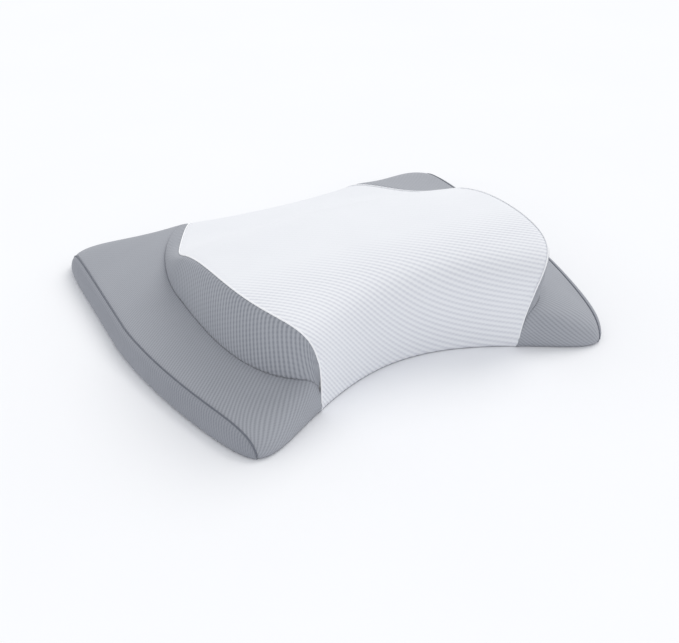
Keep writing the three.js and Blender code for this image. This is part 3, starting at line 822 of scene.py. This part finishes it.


# In every knit and cord here, the darker of the two colours is painted shade in the grooves.
MATERIALS = {
    "knit_white": knit_fabric("white_polyester_knit", "#eef0f4", "#d3d5dd", CENTRE_KNIT, 0.7, True),
    "knit_grey_light": knit_fabric("light_grey_polyester_knit", "#abaeb5", "#83868e", WING_KNIT, 0.5),
    "knit_grey_dark": knit_fabric("dark_grey_polyester_knit", "#acafb6", "#777b84", WALL_KNIT, 0.6),
    "piping_white": braid("white_covered_cord", "#ffffff", "#f0f2f7"),
    "piping_grey": braid("grey_covered_cord", "#7d818b", "#5f636d"),
    "memory_foam": memory_foam(),
    "liner_jersey": liner_jersey(),
    "zip_tape": zip_tape_weave(),
    "zip_nylon": zip_nylon(),
    "zip_metal": zip_metal(),
    "label_satin": label_satin(),
}
# Painted shade: the second colour is the painted shade in the gusset knit's grooves.
PLAIN_GREY = knit_fabric("grey_polyester_gusset_knit", "#9c9fa7", "#74777f", PLAIN_KNIT, 0.4)


# ------------------------------------------------------------------ pieces

def wear(piece, material):
    piece.data.materials.clear()
    piece.data.materials.append(material)


def dress(piece, slot, body, *nodes):
    """Gives a piece its finish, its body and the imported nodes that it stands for."""
    wear(piece, MATERIALS[slot])
    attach(piece, body)
    if nodes:
        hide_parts(*nodes)
    return piece


def eta_at_height(z):
    """How far towards the back edge the surface has dropped to this height."""
    return (1 - (z / crest_height(1, 0)) ** 2) ** (1 / CREST_RIM[1])


def make_cover(swell):
    high = eta_at_height(PANEL_ABOVE_ZIP)
    seams = (crest_normals("left"), crest_normals("right"))
    centre = cover_panel("cover_centre", "centre", CENTRE_KNIT, -1, high, seams, swell)
    dress(centre, "knit_white", "pillow", "centre_panel")
    for word in ("left", "right"):
        crest, foot, end = crest_normals(word), foot_normals(word), end_normals(word)
        wall = cover_panel(f"cover_{word}_wall", word + "_wall", WALL_KNIT, *WALL_REACH,
                           (crest, foot), swell)
        wing = cover_panel(f"cover_{word}_wing", word + "_wing", WING_KNIT, -1, 1, (foot, end), swell)
        gusset = cover_panel(f"cover_{word}_gusset", word + "_gusset", PLAIN_KNIT, -GUSSET_REACH,
                             GUSSET_REACH, (end, None), swell)
        dress(wall, "knit_grey_dark", "pillow", f"{word}_wall_panel")
        dress(wing, "knit_grey_light", "pillow", f"{word}_wing_panel")
        dress(gusset, "knit_grey_dark", "pillow", f"{word}_end_gusset")
        wear(gusset, PLAIN_GREY)


def make_cords():
    for word in ("left", "right"):
        crest = seam_cord(f"crest_cord_{word}", SECTIONS[word + "_wall"][0], 0, crest_normals(word),
                          CREST_CORD_REACH, CREST_CORD_SUNK)
        dress(crest, "piping_white", "pillow", f"{word}_crest_piping")
        end = seam_cord(f"end_cord_{word}", SECTIONS[word + "_wing"][0], 1, end_normals(word),
                        GUSSET_REACH, END_CORD_SUNK)
        dress(end, "piping_grey", "pillow", f"{word}_end_piping")


def across_surface(depth, etas):
    """The whole top of a layer, as one grid from end to end."""
    return np.stack([SECTIONS[name][0](np.full_like(etas, t), etas, depth)
                     for name, t in settle_columns()], 1)


def foam_block():
    etas = np.concatenate([[-1], SETTLE_ETAS, [1]])
    top = across_surface(FOAM_DEPTH, etas)
    rows, count = top.shape[:2]
    under = sunk_to(top, etas, BASE_LIFT * FOAM_DEPTH)
    index = np.arange(rows * count).reshape(rows, count)
    faces = quads(index) + quads(index[:, ::-1] + rows * count)
    piece = new_piece("foam_block", np.concatenate([top, under]).reshape(-1, 3), faces)
    shape = bmesh.new()
    shape.from_mesh(piece.data)
    bmesh.ops.remove_doubles(shape, verts=shape.verts, dist=0.02 * MM)
    open_edges = [e for e in shape.edges if e.is_boundary]
    if open_edges:
        bmesh.ops.holes_fill(shape, edges=open_edges, sides=0)
    bmesh.ops.dissolve_degenerate(shape, edges=shape.edges, dist=0.01 * MM)
    bmesh.ops.recalc_face_normals(shape, faces=shape.faces)
    shape.to_mesh(piece.data)
    shape.free()
    dress(piece, "memory_foam", "pillow", "foam_core")
    return piece


def upper_liner():
    etas = np.concatenate([[-0.9999], SETTLE_ETAS, [0.9999]])
    top = across_surface(LINER_DEPTH, etas)
    uvs = np.stack([lengths_along(top, 1), lengths_along(top, 0)], -1)
    piece = shell("liner_upper_half", top, uvs, LINER_THICKNESS, 1)
    dress(piece, "liner_jersey", "pillow", "liner_upper")
    declare_stretched(top)


def flat_grid(inset, height, step):
    """A level grid with the pillow's outline, some way inside its rim."""
    etas = np.linspace(-1, 1, round(0.5 / step))
    across = np.linspace(-1, 1, round(0.6 / step))
    half = end_x(etas, inset)[:, None] + gusset_overhang(etas)[:, None]
    x = across[None] * half
    grid = place(x, etas[:, None], 0, inset)
    grid[..., 2] = height
    return grid


def gusset_overhang(etas):
    """How far a gusset's foot stands out past the seam above it."""
    return GUSSET_BULGE * wing_z(end_x(etas), etas) / WING_END_HEIGHT


def lower_liner():
    grid = flat_grid(LINER_BASE_INSET, LINER_BASE_LOW + LINER_THICKNESS, 8 * MM)
    piece = shell("liner_lower_half", grid, grid[..., :2], LINER_THICKNESS, 1)
    dress(piece, "liner_jersey", "pillow", "liner_lower")
    declare_stretched(grid)


def base_panel():
    """The underside's knit panel, its ribs pressed into the face that lies on the bed."""
    grid = flat_grid(BASE_INSET, 0, 2.6 * MM)[:, ::-1]
    uvs = grid[..., :2]
    relief = grid.copy()
    relief[..., 2] = PLAIN_KNIT[1] - ribs(uvs[..., 0], uvs[..., 1], PLAIN_KNIT)
    piece = shell("cover_base", relief, uvs, BASE_THICKNESS - 0.4 * MM)
    dress(piece, "knit_grey_dark", "pillow", "base_panel")
    wear(piece, PLAIN_GREY)
    declare_stretched(grid)


# ------------------------------------------------------------------ the zip

ZIP_ETA = eta_at_height(ZIP_HEIGHT)
ZIP_RADIUS = float(BACK_ARC + (1 - ZIP_ETA) * WAIST_HALF_DEPTH - lean(ZIP_HEIGHT, ZIP_ETA))


def back_point(x, z, depth):
    """A point on the back's surface at a height, some way below it."""
    eta = np.array([eta_at_height(h) for h in np.atleast_1d(z)]).reshape(np.shape(z))
    return place(x, eta, z, depth)


def tape(name, node, low, high):
    """One side of the zip's tape: woven, with a faint rise at every rib of its herringbone."""
    x = np.linspace(TAPE_REACH, -TAPE_REACH, 300)
    z = np.linspace(low, high, 12)
    x, z = np.meshgrid(x, z)
    points = back_point(x, z, TAPE_DEPTH)
    rise = TAPE_RIB_HEIGHT * np.cos(2 * math.pi * x / TAPE_RIB_PITCH)
    points = points + normals_of(points) * rise[..., None]
    piece = shell(name, points, np.stack([x, z], -1), TAPE_THICKNESS, 1)
    dress(piece, "zip_tape", "pillow", node)


def arc_frame(angle, height=ZIP_HEIGHT):
    """Where a point of the zip's arc is, with X along the zip and Y out of the pillow."""
    turn = np.array(Matrix.Rotation(angle, 3, "Z"))
    return turn @ np.array([0, -ZIP_RADIUS, height]) + np.array([0, ZIP_CENTRE_Y, 0]), turn


def coil(name, node, side):
    """One row of wound teeth: loops of nylon, each leaning past the closed line into the other row."""
    low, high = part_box(node)
    reach = math.asin(high.x / (ZIP_RADIUS - 0.5 * MM)) - 0.002
    turns = round(2 * reach * ZIP_RADIUS / COIL_PITCH)
    middle = (low.z + high.z) / 2
    steps, sides = 10, 5
    vertices, faces = [], []
    for turn in range(turns):
        angle = -reach + (turn + 0.5 + 0.25 * side) * 2 * reach / turns
        centre, frame_turn = arc_frame(angle, middle)
        swing = np.linspace(0, 2 * math.pi, steps, endpoint=False)
        along = np.sin(swing) * COIL_PITCH * 0.22
        loop = np.stack([along, COIL_DEPTH * 0.55 * np.sin(swing), COIL_RISE * 0.5 * np.cos(swing)], -1)
        loop = loop @ frame_turn.T + centre
        tangent = unit(np.roll(loop, -1, 0) - np.roll(loop, 1, 0))
        outward = unit(loop - centre)
        other = np.cross(tangent, outward)
        ring = np.linspace(0, 2 * math.pi, sides, endpoint=False)
        tubes = loop[:, None] + COIL_WIRE * (outward[:, None] * np.cos(ring)[:, None]
                                             + other[:, None] * np.sin(ring)[:, None])
        faces += ring_faces(len(vertices), steps, sides, closed=True)
        vertices.extend(tubes.reshape(-1, 3))
    piece = new_piece(name, vertices, faces)
    tidy_normals(piece)
    dress(piece, "zip_nylon", "pillow", node)


def deselect_all():
    bpy.ops.object.select_all(action="DESELECT")


def primitive_box(name, size, middle):
    deselect_all()
    bpy.ops.mesh.primitive_cube_add(size=1, location=middle)
    piece = bpy.context.object
    piece.name = piece.data.name = name
    piece.scale = size
    bpy.ops.object.transform_apply(location=True, rotation=True, scale=True)
    return piece


def select_in_edit(piece, edges=None, faces=None):
    """Enters edit mode with only the chosen edges or faces selected, each chosen by a test."""
    bpy.ops.object.mode_set(mode="EDIT")
    bpy.ops.mesh.select_mode(type="EDGE" if edges else "FACE")
    bpy.ops.mesh.select_all(action="DESELECT")
    bpy.ops.object.mode_set(mode="OBJECT")
    mesh = piece.data
    if edges:
        for edge in mesh.edges:
            a, b = (mesh.vertices[i].co for i in edge.vertices)
            edge.select = edges(a, b)
    else:
        for face in mesh.polygons:
            face.select = faces(face)
    bpy.ops.object.mode_set(mode="EDIT")


def soften(piece, width, segments=2):
    """Rounds every hard edge as tumbling does."""
    bevel = piece.modifiers.new("rounded", "BEVEL")
    bevel.width, bevel.segments, bevel.limit_method = width, segments, "ANGLE"
    bevel.angle_limit = math.radians(30)
    deselect_all()
    bpy.context.view_layer.objects.active = piece
    piece.select_set(True)
    bpy.ops.object.modifier_apply(modifier="rounded")
    bpy.ops.object.shade_smooth_by_angle(angle=math.radians(35))


def join(name, pieces):
    deselect_all()
    for piece in pieces:
        piece.select_set(True)
    bpy.context.view_layer.objects.active = pieces[0]
    bpy.ops.object.join()
    joined = bpy.context.object
    joined.name = joined.data.name = name
    return joined


def slider_frame():
    """From the slider's own frame to the pillow's: X along the zip, Y out of the pillow, Z up it."""
    hinge = next(joint for joint in frame["joints"] if joint["name"] == "pull_tab_flip")
    up = Vector(hinge["axis"])
    along = Vector((-up.y, up.x, 0)).normalized()
    out = up.cross(along)
    origin = Vector(hinge["pos_m"]) - out * TAB_PIVOT
    return Matrix((along, out, up)).transposed().to_4x4(), origin


def seat_in_zip(piece, slot, body, node):
    turn, origin = slider_frame()
    piece.data.transform(Matrix.Translation(origin) @ turn)
    dress(piece, slot, body, node)


def near(value, target):
    return abs(value - target) < 0.02 * MM


def clip_corners(piece, x, z, offset):
    """Bevels the two upright corner edges of a plate at one end."""
    select_in_edit(piece, edges=lambda a, b: near(a.x, x) and near(b.x, x) and near(abs(a.z), z)
                   and near(a.z, b.z))
    bpy.ops.mesh.bevel(offset=offset, segments=3, affect="EDGES")
    bpy.ops.object.mode_set(mode="OBJECT")


def slider_plate(name, low, high, out):
    """One plate of the slider, nosed at both ends, with a shallow raised field on its outer face."""
    length, height = SLIDER_SIZE
    plate = primitive_box(name, (length, high - low, height), (0, (low + high) / 2, 0))
    for end in (-1, 1):
        clip_corners(plate, end * length / 2, height / 2, 1.9 * MM)
    face_y = high if out > 0 else low
    select_in_edit(plate, faces=lambda f: near(f.center.y, face_y) and abs(f.normal.y) > 0.9)
    bpy.ops.mesh.inset(thickness=1.0 * MM)
    bpy.ops.mesh.inset(thickness=0.35 * MM, depth=0.25 * MM)
    bpy.ops.object.mode_set(mode="OBJECT")
    return plate


def side_lip(sign):
    """The outer plate's turned-down edge, which keeps the teeth in line."""
    middle_z = sign * (SLIDER_SIZE[1] - LIP_SIZE[2]) / 2
    lip = primitive_box("lip", LIP_SIZE, (0, OUTER_PLATE[0] - LIP_DROP, middle_z))
    for end in (-1, 1):
        select_in_edit(lip, faces=lambda f: near(f.center.x, end * LIP_SIZE[0] / 2))
        bpy.ops.transform.resize(value=(1, 0.5, 0.6))
        bpy.ops.object.mode_set(mode="OBJECT")
    return lip


def bail():
    """The bridge that the pull tab swings on: a bar bent down to the plate at both ends."""
    top = OUTER_PLATE[1]
    bar = primitive_box("bail", BAIL_SIZE, (0, top + BAIL_RISE, 0))
    select_in_edit(bar, faces=lambda f: f.normal.y > 0.9)
    bpy.ops.mesh.inset(thickness=0.3 * MM, depth=0.12 * MM)
    bpy.ops.object.mode_set(mode="OBJECT")
    foot_x = (BAIL_SIZE[0] - BAIL_FOOT_SIZE[0]) / 2
    feet = [primitive_box("bail_foot", BAIL_FOOT_SIZE, (end * foot_x, top + BAIL_FOOT_RISE, 0))
            for end in (-1, 1)]
    return [bar, *feet]


def make_slider():
    middle_x = -(SLIDER_SIZE[0] - POST_SIZE[0]) / 2 + 0.5 * MM
    middle_y = (OUTER_PLATE[1] + INNER_PLATE[0]) / 2
    post = primitive_box("post", POST_SIZE, (middle_x, middle_y, 0))
    clip_corners(post, middle_x + POST_SIZE[0] / 2, POST_SIZE[2] / 2, 0.4 * MM)
    plates = [slider_plate("outer_plate", *OUTER_PLATE, 1), slider_plate("inner_plate", *INNER_PLATE, -1)]
    parts = [*plates, post, side_lip(-1), side_lip(1), *bail()]
    slider = join("zip_slider_body", parts)
    soften(slider, 0.16 * MM)
    seat_in_zip(slider, "zip_metal", "slider", "zip_slider")


def make_pull_tab():
    """A flat pull with a window for the bail, a rounded end and a sunk thumb field."""
    length, width, thickness = TAB_SIZE
    middle_x = (TAB_START + length) / 2
    tab = primitive_box("zip_pull", (length - TAB_START, thickness, width), (middle_x, 0, 0))
    clip_corners(tab, TAB_START, width / 2, 1.1 * MM)
    select_in_edit(tab, edges=lambda a, b: near(a.x, length) and near(b.x, length) and near(a.z, b.z))
    bpy.ops.mesh.bevel(offset=width / 2 - 0.1 * MM, segments=9, affect="EDGES")
    bpy.ops.object.mode_set(mode="OBJECT")
    window_start, window_end, half_window = TAB_WINDOW
    cuts = [((x, 0, 0), (1, 0, 0)) for x in (window_start, window_end, TAB_FIELD_START)]
    cuts += [((0, 0, z), (0, 0, 1)) for z in (half_window, -half_window)]
    for point, normal in cuts:
        bpy.ops.object.mode_set(mode="EDIT")
        bpy.ops.mesh.select_all(action="SELECT")
        bpy.ops.mesh.bisect(plane_co=point, plane_no=normal)
        bpy.ops.object.mode_set(mode="OBJECT")
    select_in_edit(tab, faces=lambda f: abs(f.normal.y) > 0.9 and abs(f.center.z) < half_window
                   and window_start < f.center.x < window_end)
    bpy.ops.mesh.bridge_edge_loops()
    bpy.ops.object.mode_set(mode="OBJECT")
    for side in (-1, 1):
        select_in_edit(tab, faces=lambda f: side * f.normal.y > 0.9 and f.center.x > TAB_FIELD_START)
        bpy.ops.mesh.inset(thickness=1.1 * MM)
        bpy.ops.mesh.inset(thickness=0.3 * MM, depth=-0.2 * MM)
        bpy.ops.object.mode_set(mode="OBJECT")
    soften(tab, 0.14 * MM)
    tab.data.transform(Matrix.Translation((0, TAB_PIVOT, 0)))
    seat_in_zip(tab, "zip_metal", "pull_tab", "zip_pull_tab")


def make_stop(name, node):
    """A moulded block that closes the teeth, with a grip groove on its face."""
    low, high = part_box(node)
    angle = math.asin((low.x + high.x) / 2 / ZIP_RADIUS)
    point, turn = arc_frame(angle)
    stop = primitive_box(name, (*STOP_SIZE, high.z - low.z), (0, -STOP_SUNK, 0))
    select_in_edit(stop, faces=lambda f: f.normal.y > 0.9)
    bpy.ops.mesh.inset(thickness=0.5 * MM)
    bpy.ops.mesh.inset(thickness=0.25 * MM, depth=-0.25 * MM)
    bpy.ops.object.mode_set(mode="OBJECT")
    soften(stop, 0.25 * MM, 3)
    matrix = Matrix(turn.tolist()).to_4x4()
    matrix.translation = Vector(point)
    stop.data.transform(matrix)
    dress(stop, "zip_nylon", "pillow", node)


def stitch_row(name, height):
    """Lockstitches that hold the tape, each a short thread dipping in at both ends."""
    rings, sides = 5, 6
    part = np.linspace(-1, 1, rings)
    turn = np.linspace(0, 2 * math.pi, sides, endpoint=False)
    radius = THREAD_RADIUS * np.sqrt(1 - 0.6 * part**2)[:, None, None]
    up = np.array([0, 0, 1.0])
    vertices, faces = [], []
    for x in np.arange(STITCH_PITCH - TAPE_REACH, TAPE_REACH - STITCH_PITCH, STITCH_PITCH):
        middle = np.array([x]), np.array([height])
        out = unit(back_point(*middle, -1 * MM) - back_point(*middle, 0))[0]
        line = back_point(x + part * STITCH_HALF_LENGTH, np.full(rings, height), 0)
        line = line + out * (STITCH_LIFT - STITCH_DIP * part[:, None] ** 2)
        round_it = out * np.cos(turn)[:, None] + up * np.sin(turn)[:, None]
        first, last = len(vertices), len(vertices) + (rings - 1) * sides
        vertices.extend((line[:, None] + radius * round_it[None]).reshape(-1, 3))
        faces += ring_faces(first, rings, sides)
        faces += [list(range(first + sides - 1, first - 1, -1)), list(range(last, last + sides))]
    piece = new_piece(name, vertices, faces)
    tidy_normals(piece)
    dress(piece, "zip_nylon", "pillow")


def make_label():
    """A blank satin label sewn in at one end, its free end lifting a little."""
    low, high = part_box("care_label")
    t = np.linspace(0, 1, 30)
    etas = np.linspace(LABEL_ETAS[0], LABEL_ETAS[1], 34)
    x = low.x + (high.x - low.x) * t
    grid = np.stack([place(x, np.full_like(x, eta), wing_z(x, np.full_like(x, eta))) for eta in etas])
    free = np.linspace(1, 0, len(etas))[:, None]
    lift = LABEL_LIFT + LABEL_CURL * free**2 + LABEL_WAVE * np.sin(t * 5)[None] * free
    grid = grid + normals_of(grid) * lift[..., None]
    uvs = np.stack(np.broadcast_arrays(x[None], lengths_along(grid, 0)), -1)
    piece = shell("blank_label", grid, uvs, LABEL_THICKNESS, 1)
    tidy_normals(piece)
    dress(piece, "label_satin", "pillow", "care_label")
    float(lengths_along(grid, 0)[-1].mean())


def make_zip():
    tape("zip_tape_lower_strip", "zip_tape_lower", TAPE_EDGES[0], TAPE_EDGES[1])
    tape("zip_tape_upper_strip", "zip_tape_upper", TAPE_EDGES[2], TAPE_EDGES[3])
    coil("zip_teeth_lower", "zip_coil_lower", -1)
    coil("zip_teeth_upper", "zip_coil_upper", 1)
    make_stop("zip_stop_left", "zip_stop_closed")
    make_stop("zip_stop_right", "zip_stop_open")
    for name, height in STITCH_HEIGHTS.items():
        stitch_row(name, height)
    make_slider()
    make_pull_tab()


# ------------------------------------------------------------------ studio

def make_camera():
    data = bpy.data.cameras.new("studio_camera")
    data.lens, data.sensor_width = 53.0, 36.0
    data.shift_x, data.shift_y = CAMERA_SHIFT
    camera = bpy.data.objects.new("studio_camera", data)
    bpy.context.scene.collection.objects.link(camera)
    azimuth, elevation = math.radians(CAMERA_AZIMUTH), math.radians(CAMERA_ELEVATION)
    back = Vector((math.sin(azimuth) * math.cos(elevation), -math.cos(azimuth) * math.cos(elevation),
                   math.sin(elevation)))
    camera.location = CAMERA_TARGET + back * CAMERA_DISTANCE
    camera.rotation_euler = back.to_track_quat("Z", "Y").to_euler()
    bpy.context.scene.camera = camera


def make_studio():
    deselect_all()
    bpy.ops.mesh.primitive_grid_add(x_subdivisions=8, y_subdivisions=8, size=FLOOR_SIZE,
                                    location=(0, 0, -FLOOR_DROP))
    floor = bpy.context.object
    floor.name = floor.data.name = "studio_floor"
    bpy.ops.object.transform_apply(location=True)
    floor.data.materials.append(studio_paper())
    world = bpy.data.worlds.new("studio_surround")
    world.use_nodes = True
    world.node_tree.nodes["Background"].inputs["Color"].default_value = linear("#f8f9fb")
    world.node_tree.nodes["Background"].inputs["Strength"].default_value = FILL_STRENGTH
    bpy.context.scene.world = world
    key = bpy.data.lights.new("key_softbox", "SUN")
    key.energy, key.angle = KEY_STRENGTH, math.radians(KEY_SPREAD)
    key.color = linear("#fffdf9")[:3]
    lamp = bpy.data.objects.new("key_softbox", key)
    bpy.context.scene.collection.objects.link(lamp)
    lamp.rotation_euler = Vector(KEY_FROM).to_track_quat("Z", "Y").to_euler()
    bpy.context.scene.view_settings.view_transform = "Standard"


make_camera()
make_studio()
cover_swell = swollen_cover()
foam_block()
upper_liner()
lower_liner()
base_panel()
make_cover(cover_swell)
make_cords()
make_zip()
make_label()
